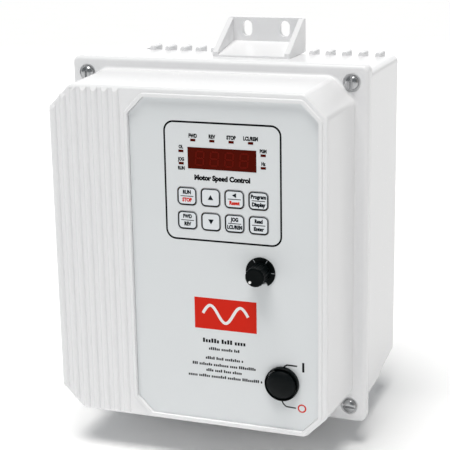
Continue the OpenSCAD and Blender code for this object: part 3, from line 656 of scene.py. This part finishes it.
def build_base():
    rear = in_mm("heat_sink")[0].y
    floor_y = rear - WALL
    base = piece("base_casting", prism(rectangle(FLANGE_W, FLANGE_H), SEAM, SEAM + 4, corner=4, segments=6,
                                       front=0.4, back=2.0), "enamel")
    spans = [(s * HINGE_Z + a, s * HINGE_Z + b) for s in (-1, 1) for a, b in ((-16, -6.4), (6.4, 16))]
    rear_cut = box(WALL - BASE_W / 2, BASE_W / 2 - WALL, rear, 5, -130, 130)
    hollow = piece("hollow", base_side(BASE_W - 2 * WALL, WALL, floor_y, SEAM - 1), [])
    carve(hollow, [("DIFFERENCE", merge([rod(spot.x, spot.z, SEAM - 2, SEAM + 24, 11)
                                         for spot in SCREWS.values()]))])
    inside = bmesh.new()
    inside.from_mesh(hollow.data)
    bpy.data.objects.remove(hollow)
    gasket = bmesh.new()
    gasket.from_mesh(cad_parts["cover_gasket"].data)
    bmesh.ops.remove_doubles(gasket, verts=gasket.verts, dist=1e-6)
    bmesh.ops.translate(gasket, verts=[v for v in gasket.verts if v.co.y < (SEAM + 1) * MM], vec=(0, -MM, 0))
    bores = [rod(spot.x, spot.z, SEAM - 1, SEAM + 4, 3.4, 32) for spot in SCREWS.values()]
    bores += [upright(HINGE.x, SEAM, s * HINGE_Z - 17, s * HINGE_Z + 17, 1.5) for s in (-1, 1)]
    bores += [upright(s * 38, -62, -BASE_BOTTOM - 1, WALL + 1 - BASE_BOTTOM, 11.15, 48) for s in (-1, 1)]
    posts = [rod(spot.x, spot.z, in_mm("power_board")[1].y, floor_y + 0.5, 3.5, 24)
             for spot in islands("power_board_screws")]
    carve(base, [("UNION", round_long_edges(base_side(BASE_W, 0, 0, SEAM + 1), 4.0, BASE_W / 2)),
                 ("UNION", knuckles(spans, 1)), ("DIFFERENCE", rear_cut), ("DIFFERENCE", inside),
                 ("DIFFERENCE", gasket), ("DIFFERENCE", merge(bores)), ("UNION", merge(posts))])
    smooth(base)
    settle(base, "base", "white_enamel", "base_housing")


def build_heat_sink():
    """Cast plate and fins; each fin is a bar with rounded edges."""
    low, high = in_mm("heat_sink")
    thick, pitch, first, short = 3.4, 10.7, 11.9, 92.5
    plate = prism(rectangle(high.x - low.x, BASE_TOP + low.z * -1, 0, (BASE_TOP + low.z) / 2),
                  low.y, low.y + 4, corner=0.3, segments=2)
    fins = [prism(rectangle(thick, 2 * short), low.y + 1, -0.05, corner=1.65, segments=6, back=0.3)]
    for s in (-1, 1):
        for i in range(7):
            top, bottom = (short, short) if i < 2 else (high.z, -low.z)
            fins.append(prism(rectangle(thick, top + bottom, s * (first + i * pitch), (top - bottom) / 2),
                              low.y + 1, 0, corner=1.65, segments=6, front=0.3, back=0.3))
    sink = piece("heat_sink_casting", plate, "enamel")
    carve(sink, [("UNION", merge(fins))])
    smooth(sink, 40)
    settle(sink, "base", "white_enamel", "heat_sink")


def side_plate(outline, x0, x1):
    """A plate from an outline drawn in Y and Z, between two X positions (mm)."""
    bm = bmesh.new()
    bm.faces.new([bm.verts.new((x0 * MM, py * MM, pz * MM)) for py, pz in outline])
    grown = bmesh.ops.extrude_face_region(bm, geom=bm.faces[:])["geom"]
    bmesh.ops.translate(bm, verts=[g for g in grown if isinstance(g, bmesh.types.BMVert)],
                        vec=((x1 - x0) * MM, 0, 0))
    bmesh.ops.recalc_face_normals(bm, faces=bm.faces)
    return bm


def build_bracket(name, side):
    low, high = in_mm(name)
    wide, thick, foot_y, gusset = high.x, 4, -34, 3.4
    reach = max(abs(low.z), abs(high.z))
    foot = BASE_TOP if side > 0 else BASE_TOP - 6
    plate = prism(rectangle(2 * wide, reach - foot, 0, (reach + foot) / 2), -thick, 0, corner=1.5, segments=4)
    ramp = side_plate([(0, foot), (0, 107.5), (-thick - 2, 107), (foot_y, BASE_TOP + 1.2), (foot_y, foot)],
                      -wide + 0.5, wide - 0.5)
    cheeks = [side_plate([(-0.02, foot), (-0.02, reach - 0.5), (-thick, reach - 0.5), (foot_y, BASE_TOP + 3),
                          (foot_y, foot)], *sorted((s * wide, s * (wide - gusset)))) for s in (-1, 1)]
    slots = [prism(rectangle(6.8, 10.3, s * 12.7, 115.4), -thick - 4, 1, corner=3.39, segments=12)
             for s in (-1, 1)]
    bracket = piece(name + "_casting", plate, "enamel")
    carve(bracket, [("UNION", ramp), ("UNION", merge(cheeks)), ("DIFFERENCE", merge(slots))])
    if side < 0:
        bm = bmesh.new()
        bm.from_mesh(bracket.data)
        bmesh.ops.scale(bm, verts=bm.verts, vec=(1, 1, -1))
        bmesh.ops.recalc_face_normals(bm, faces=bm.faces)
        bm.to_mesh(bracket.data)
        bm.free()
        carve(bracket, [("DIFFERENCE", base_side(2 * wide + 2, 0, 1, SEAM + 1))])
    soft = bracket.modifiers.new("soft_edges", "BEVEL")
    soft.width, soft.segments, soft.limit_method = 0.7 * MM, 3, "ANGLE"
    soft.angle_limit = math.radians(35)
    smooth(bracket, 35)
    settle(bracket, "base", "white_enamel", name)


# ---------------------------------------------------------------- printed marks

INK = 0.03


def thicken(bm):
    """Gives flat marks the thickness of an ink film, towards the front."""
    grown = bmesh.ops.extrude_face_region(bm, geom=bm.faces[:])["geom"]
    bmesh.ops.translate(bm, verts=[g for g in grown if isinstance(g, bmesh.types.BMVert)],
                        vec=(0, -INK * MM, 0))
    bmesh.ops.recalc_face_normals(bm, faces=bm.faces)
    return bm


def patch(outline, y, corner=0.0, segments=4):
    """A filled shape in ink."""
    bm = bmesh.new()
    sheet_face(bm, outline, y, corner, segments)
    return thicken(bm)


def outline_ring(outline, width, y, corner):
    """A closed line in ink, just inside an outline."""
    bm = bmesh.new()
    sheet_face(bm, outline, y, corner, 8)
    face = bm.faces[:][0]
    bmesh.ops.inset_individual(bm, faces=[face], thickness=width * MM, use_even_offset=True)
    bmesh.ops.delete(bm, geom=[face], context="FACES_ONLY")
    return thicken(bm)


def stroke(points, width, y):
    """A line of constant width through the points, mitred where it turns."""
    spots = [Vector(p) for p in points]
    left, right = [], []
    for i, spot in enumerate(spots):
        before = (spot - spots[i - 1]).normalized() if i else (spots[1] - spot).normalized()
        after = (spots[i + 1] - spot).normalized() if i + 1 < len(spots) else before
        along = (before + after).normalized()
        across = Vector((-along.y, along.x)) * width / 2 / max(0.5, along.dot(before))
        left.append(tuple(spot + across))
        right.append(tuple(spot - across))
    return patch(right + left[::-1], y)


def words(text, x, z, y, tall=2.1, squeeze=0.8, weight=0.065):
    """Generic lettering centred on (x, z) with capitals of the given height."""
    curve = bpy.data.curves.new("words", "FONT")
    curve.body = text
    curve.align_x, curve.align_y = "CENTER", "CENTER"
    size = tall / 0.72 * MM
    curve.size, curve.offset, curve.extrude = size, weight * size, INK / 2 * MM
    curve.resolution_u = 3
    holder = bpy.data.objects.new("words", curve)
    bpy.context.scene.collection.objects.link(holder)
    mesh = bpy.data.meshes.new_from_object(holder.evaluated_get(bpy.context.evaluated_depsgraph_get()))
    bm = bmesh.new()
    bm.from_mesh(mesh)
    bmesh.ops.remove_doubles(bm, verts=bm.verts, dist=1e-7)
    bmesh.ops.scale(bm, verts=bm.verts, vec=(squeeze, 1, 1))
    bmesh.ops.transform(bm, verts=bm.verts, matrix=Matrix.Translation(Vector((x, y - INK / 2, z)) * MM)
                        @ Matrix.Rotation(math.radians(90), 4, "X"))
    bmesh.ops.recalc_face_normals(bm, faces=bm.faces)
    bpy.data.meshes.remove(mesh)
    bpy.data.objects.remove(holder)
    bpy.data.curves.remove(curve)
    return bm


def dummy_text(x, z, width, tall, seed):
    """A line of letter-sized strokes that stands in for small print."""
    rng = random.Random(seed)
    parts, at = [], x - width / 2
    left = rng.randint(3, 9)
    while at < x + width / 2 - tall * 0.5:
        high = tall * rng.choice((0.72, 0.72, 1.0))
        parts.append(patch(rectangle(tall * 0.48, high, at + tall * 0.3, z - (tall - high) / 2), LABEL_FACE))
        at += tall * 0.66
        left -= 1
        if not left:
            left = rng.randint(3, 9)
            at += tall * 0.45
    return merge(parts)


def print_mark(name, bm, ink, body="cover"):
    settle(piece(name, bm, ink), body, "label_film")


# Small print: height on the label, length of the line and height of its letters
SMALL_PRINT = ((-46.8, 26.9, 2.6), (-51.6, 19.6, 1.75), (-57.4, 23.8, 1.75),
               (-61.4, 40.3, 1.75), (-64.9, 23.4, 1.75), (-68.6, 45.6, 1.75))
SMALL_PRINT_X = 21.4
BLOCK_W, BLOCK_H, BLOCK_X, BLOCK_Z = 37.6, 18.7, 22.2, -30.45
WAVE_START, WAVE_LENGTH, WAVE_RISE, WAVE_TURNS, WAVE_STEPS = 8.5, 27.4, 5.0, 1.5, 48
DIGIT_PITCH, SEGMENT = 8.7, 0.85


def print_label():
    y = LABEL_FACE
    glass = in_mm("display_window")[0].y
    black = [outline_ring(rectangle(69.3, 68.4, 21.8, 46.5), 1.05, y, 6.0)]
    lamps = sorted(islands("indicator_lenses"), key=lambda v: (-round(v.z), v.x))
    for spot, word in zip(lamps[:4], ("FWD", "REV", "STOP", "LCL/REM")):
        black.append(words(word, spot.x, spot.z + 2.35, y, 2.1, 0.76))
    side = {(True, True): "OL", (True, False): "JOG", (False, True): "PGM", (False, False): "Hz"}
    for spot in lamps[4:]:
        black.append(words(side[spot.x < DISPLAY.x, spot.z > DISPLAY.z], spot.x, spot.z + 2.3, y, 1.9, 0.74))
        if spot.x < DISPLAY.x and spot.z < DISPLAY.z:
            black.append(words("RUN", spot.x, spot.z - 2.8, y, 1.9, 0.74))
    black.append(words("Motor Speed Control", DISPLAY.x, 48.9, y, 2.8, 0.96))
    for i, (z, width, tall) in enumerate(SMALL_PRINT):
        black.append(dummy_text(SMALL_PRINT_X, z, width, tall, 11 + i))
    # Leader lines and the upright bar of the switch's on mark
    black.append(stroke([(56.3, -59.6), (57.4, -57.4), (58.8, -56.4), (64.8, -56.5)], 0.85, y))
    black.append(stroke([(55.7, -78.4), (56.6, -80.3), (58.3, -81.7), (64.1, -82.0)], 0.75, y))
    black.append(patch(rectangle(1.28, 5.7, 68.4, -56.9), y))
    black.append(outline_ring(rectangle(40.3, 12.1, DISPLAY.x, DISPLAY.z), 0.5, glass, 0))
    print_mark("label_black_print", merge(black), "black_ink")
    off_mark = turned([(1.75, 0), (2.55, 0), (2.55, INK), (1.75, INK), (1.75, 0)], 40)
    red = [patch(rectangle(BLOCK_W, BLOCK_H, BLOCK_X, BLOCK_Z), y), face_front(off_mark, 67.6, y, -81.8)]
    print_mark("label_red_print", merge(red), "red_ink")
    wave = [(WAVE_START + WAVE_LENGTH * i / WAVE_STEPS,
             BLOCK_Z + WAVE_RISE * math.sin(math.tau * i / WAVE_STEPS * WAVE_TURNS))
            for i in range(WAVE_STEPS + 1)]
    print_mark("label_white_print", stroke(wave, 1.7, y - INK), "white_ink")
    print_digits(glass)
    print_ticks(in_mm("speed_dial")[0].y)


def print_digits(y):
    """The seven unlit segments of each of the four figures, on a slant."""
    faint = []
    for digit in range(4):
        mid = DISPLAY.x + (digit - 1.5) * DIGIT_PITCH
        for row in (-1, 0, 1):
            faint.append(patch(rectangle(3.7, SEGMENT, mid + row * 0.35, DISPLAY.z + row * 3.9), y, 0.3, 2))
        for sx in (-1, 1):
            for sz in (-1, 1):
                ends = ((sz * 1.95 - 1.6, sz * 0.17 - 0.14), (sz * 1.95 + 1.6, sz * 0.17 + 0.14))
                corners = [(mid + sx * 2.3 + lean + 0.42, DISPLAY.z + z) for z, lean in ends]
                corners += [(mid + sx * 2.3 + lean - 0.42, DISPLAY.z + z) for z, lean in reversed(ends)]
                faint.append(patch(corners, y))
    print_mark("display_digits", merge(faint), "segment")


def print_ticks(y):
    """Six ticks round the dial, 60 degrees apart."""
    ticks = []
    for i in range(6):
        a = math.radians(-60 + 60 * i)
        ticks.append(stroke([(KNOB.x + r * math.cos(a), KNOB.z + r * math.sin(a)) for r in (6.4, 8.4)], 0.32, y))
    print_mark("dial_ticks", merge(ticks), "grey_ink")


# Legend of each key: upper and lower words, and whether the lower one is red
LEGENDS = {"run": ("RUN", "STOP", True), "up": ("^", "", False), "reset": ("<", "Reset", True),
           "program": ("Program", "Display", False), "forward": ("FWD", "REV", False),
           "down": ("v", "", False), "jog": ("JOG", "LCL/REM", False), "enter": ("Read", "Enter", False)}
ARROWS = {"^": 90, "<": 180, "v": 270}


def arrow(x, z, y, size, turn):
    """A three-sided arrowhead that points to the given turn in degrees."""
    return patch([(x + size * math.cos(math.radians(turn + d)), z + size * math.sin(math.radians(turn + d)))
                  for d in (0, 120, 240)], y)


def build_keys():
    for name, (upper, lower, warn) in LEGENDS.items():
        node = "key_" + name
        low, high = in_mm(node)
        spot = (low + high) / 2
        wide, tall = high.x - low.x, high.z - low.z
        cap = piece(node + "_film", prism(rectangle(wide, tall, spot.x, spot.z), low.y, high.y, corner=2.6,
                                          segments=8, front=0.3), "key")
        smooth(cap, 50)
        settle(cap, node + "_cap", "label_film", node)
        face = low.y
        dark = [outline_ring(rectangle(wide - 0.1, tall - 0.1, spot.x, spot.z), 0.66, face, 2.5)]
        red = []
        if not lower:
            dark.append(arrow(spot.x, spot.z - (0.4 if upper == "^" else -0.4), face, 1.9, ARROWS[upper]))
        else:
            dark.append(stroke([(spot.x - 3.9, spot.z), (spot.x + 3.9, spot.z)], 0.42, face))
            if upper in ARROWS:
                dark.append(arrow(spot.x + 0.3, spot.z + 2.2, face, 1.6, ARROWS[upper]))
            else:
                dark.append(words(upper, spot.x, spot.z + 2.2, face, 2.1, 0.8 if len(upper) < 5 else 0.88))
            (red if warn else dark).append(words(lower, spot.x, spot.z - 2.2, face, 2.1,
                                                 0.8 if len(lower) < 5 or "/" in lower else 0.9))
        print_mark(node + "_legend", merge(dark), "slate_ink", node + "_cap")
        if red:
            print_mark(node + "_red_legend", merge(red), "red_ink", node + "_cap")


# ---------------------------------------------------------------- knob, switch and screws

def build_knob():
    low, high = in_mm("speed_knob")
    r, tall = 6.0, high.y - low.y
    bm = turned([(0, 0), (r, 0), (r, 1.0), (r - 0.25, 1.5), (r - 0.3, tall - 1.0), (r - 0.55, tall - 0.45),
                 (r - 1.0, tall - 0.12), (r - 1.5, tall), (r - 2.0, tall), (r - 2.4, tall - 0.2),
                 (0, tall - 0.25)], 72)
    knob = piece("speed_knob_moulding", face_front(bm, KNOB.x, high.y, KNOB.z), "phenolic")
    flutes = []
    for i in range(18):
        a = math.radians(20 * i)
        flutes.append(rod(KNOB.x + (r + 0.15) * math.cos(a), KNOB.z + (r + 0.15) * math.sin(a),
                          low.y - 1, high.y - 1.3, 0.8, 12))
    dot = middle("knob_pointer")
    socket = rod(KNOB.x, KNOB.z, low.y + 1.5, high.y + 1, 3, 32)
    dimple = rod(dot.x, dot.z, low.y - 1, low.y + 0.45, 0.8, 20)
    carve(knob, [("DIFFERENCE", merge(flutes)), ("DIFFERENCE", merge([socket])), ("DIFFERENCE", dimple)])
    smooth(knob, 34)
    settle(knob, "speed_control", "black_gloss", "speed_knob")


def build_switch():
    low, high = in_mm("switch_bezel")
    rise = high.y - low.y
    bezel = piece("switch_bezel_moulding",
                  face_front(turned([(9.2, 0), (10.0, 0), (10.0, rise - 0.9), (9.92, rise - 0.4), (9.75, rise - 0.1),
                                     (9.55, rise), (9.35, rise - 0.1), (9.22, rise - 0.4), (9.2, 0)], 72),
                             SWITCH.x, high.y, SWITCH.z), "phenolic")
    smooth(bezel, 40)
    settle(bezel, "cover", "black_moulding", "switch_bezel")
    inner = [(6.4, -1.5), (7.6, -1.5)]
    outer = [(7.6, 1.2), (7.75, 1.3), (8.55, 1.3), (8.7, 1.45), (8.7, 3.05), (8.6, 3.3), (8.15, 3.65), (7.9, 3.85),
             (7.5, 4.2), (6.8, 4.65), (5.9, 4.98), (4.8, 5.24), (3.6, 5.45), (2.4, 5.58), (1.2, 5.66), (0, 5.7)]
    under = [(0, 4.2), (4.2, 4.2), (6.4, 2.2), (6.4, -1.5)]
    bm = turned(inner + outer + under, 72)
    bmesh.ops.transform(bm, verts=bm.verts, matrix=Matrix.Translation(
        Vector((SWITCH.x, LABEL_FACE, SWITCH.z)) * MM) @ Matrix.Rotation(math.radians(97), 4, "X"))
    boot = piece("switch_boot", bm, "boot")
    smooth(boot, 50)
    settle(boot, "power_switch", "boot_rubber", "switch_cap")


def build_screws():
    thread = []
    for i in range(7):
        thread += [(1.95, -6.6 + i * 0.6), (2.4, -6.3 + i * 0.6)]
    head = [(1.95, -2.3), (2.0, -2.2), (2.0, 0), (3.95, 0), (4.1, 0.15), (4.1, 1.1), (4.03, 1.6), (3.84, 2.1),
            (3.5, 2.55), (2.95, 2.95), (2.25, 3.22), (1.25, 3.4), (0, 3.45)]
    for corner, spot in SCREWS.items():
        node = "cover_screw_" + corner
        bm = turned([(0, -7), (1.6, -7)] + thread + head, 40)
        screw = piece(node + "_steel", face_front(bm, spot.x, FLANGE_FRONT + 1, spot.z), "steel")
        slot = box(-6, 6, -1.6, 0.25, -0.72, 0.72)
        turn = -86 if "top" in corner else 6
        bmesh.ops.transform(slot, verts=slot.verts, matrix=Matrix.Translation(
            Vector((spot.x, FLANGE_FRONT + 1 - 2, spot.z)) * MM) @ Matrix.Rotation(math.radians(turn), 4, "Y"))
        carve(screw, [("DIFFERENCE", slot)])
        smooth(screw, 34)
        settle(screw, "screw_" + corner, "steel", node)


def flip(bm):
    """Mirrors a solid front to back."""
    bmesh.ops.scale(bm, verts=bm.verts, vec=(1, -1, 1))
    bmesh.ops.reverse_faces(bm, faces=bm.faces)
    return bm


# Ground that each kind of small part takes: a capacitor, a resistor and a chip (mm)
PART_SIZES = ((5.2, 5.2), (9.5, 3.4), (8.2, 6.4))
PART_SLOTS = {"sleeve": "capacitor_sleeve", "abs": "black_moulding", "ivory": "ivory_moulding", "steel": "steel"}
PART_GAP, FIXING_GAP, BOARD_RIM = 1, 5, 6


def build_board_parts(name, board, back, body, tallest, count, seed, keep_off):
    """Small parts soldered on the free ground of a board: capacitors, resistors and chips in turn."""
    rng = random.Random(seed)
    low, high = in_mm(board)
    face, out = (high.y, 1) if back else (low.y, -1)

    def block(x0, x1, from_board, to, z0, z1, soft=0.0):
        return box(x0, x1, *sorted((face + out * from_board, face + out * to)), z0, z1, soft)

    taken = [(a.x - PART_GAP, b.x + PART_GAP, a.z - PART_GAP, b.z + PART_GAP)
             for a, b in (in_mm(n) for n in keep_off)]
    fixings = "shield_screws" if back else board + "_screws"
    taken += [(p.x - FIXING_GAP, p.x + FIXING_GAP, p.z - FIXING_GAP, p.z + FIXING_GAP) for p in islands(fixings)]
    kinds = {finish: [] for finish in PART_SLOTS}
    for i in range(count * 20):
        kind = i % 3
        w, h = PART_SIZES[kind]
        x = rng.uniform(low.x + BOARD_RIM, high.x - BOARD_RIM)
        z = rng.uniform(low.z + BOARD_RIM, high.z - BOARD_RIM)
        if any(x + w / 2 > a and x - w / 2 < b and z + h / 2 > c and z - h / 2 < d for a, b, c, d in taken):
            continue
        taken.append((x - w / 2 - PART_GAP, x + w / 2 + PART_GAP, z - h / 2 - PART_GAP, z + h / 2 + PART_GAP))
        if kind == 0:
            rise = min(tallest, rng.choice((6, 9, 11)))
            can = turned([(0, 0), (2.3, 0), (2.5, 0.3), (2.5, rise - 0.4), (2.2, rise), (0, rise)], 20)
            kinds["sleeve"].append(face_front(can, x, face, z) if out < 0 else flip(face_front(can, x, -face, z)))
        elif kind == 1:
            barrel = turned([(0, -3.2), (1.0, -3.2), (1.25, -2.8), (1.25, -2.0), (1.0, -1.7),
                             (1.0, 1.7), (1.25, 2.0), (1.25, 2.8), (1.0, 3.2), (0, 3.2)], 16)
            bmesh.ops.transform(barrel, verts=barrel.verts, matrix=Matrix.Translation(
                Vector((x, face + out * 1.6, z)) * MM) @ Matrix.Rotation(math.pi / 2, 4, "Y"))
            kinds["ivory"].append(barrel)
            for s in (-1, 1):
                lead, leg = x + s * 3.9, x + s * 4.6
                kinds["steel"].append(block(lead - 0.9, lead + 0.9, 1.35, 1.85, z - 0.25, z + 0.25))
                kinds["steel"].append(block(leg - 0.25, leg + 0.25, 0, 1.8, z - 0.25, z + 0.25))
        else:
            kinds["abs"].append(block(x - 3.9, x + 3.9, 0.4, 2.0, z - 2, z + 2, 0.2))
            for leg in range(6):
                kinds["steel"].append(block(x - 3.35 + leg * 1.27, x - 2.95 + leg * 1.27, 0, 0.9, z - 2.9, z + 2.9))
        count -= 1
        if not count:
            break
    for finish, parts in kinds.items():
        if parts:
            made = piece(f"{name}_{finish}", merge(parts), finish)
            smooth(made)
            settle(made, body, PART_SLOTS[finish])


# ---------------------------------------------------------------- run

make_camera()
make_studio()
finish_nodes()
build_cover()
build_base()
build_heat_sink()
build_bracket("top_bracket", 1)
build_bracket("bottom_bracket", -1)
print_label()
build_keys()
build_knob()
build_switch()
build_screws()
build_board_parts("power_parts", "power_board", False, "base", 11, 46, 7,
                  ["bus_capacitors", "line_choke_core", "line_choke_winding", "supply_transformer", "precharge_relay",
                   "power_terminals", "control_terminals", "board_socket"])
build_board_parts("control_parts", "control_board", True, "cover", 6, 26, 3, ["control_chips", "speed_pot"])
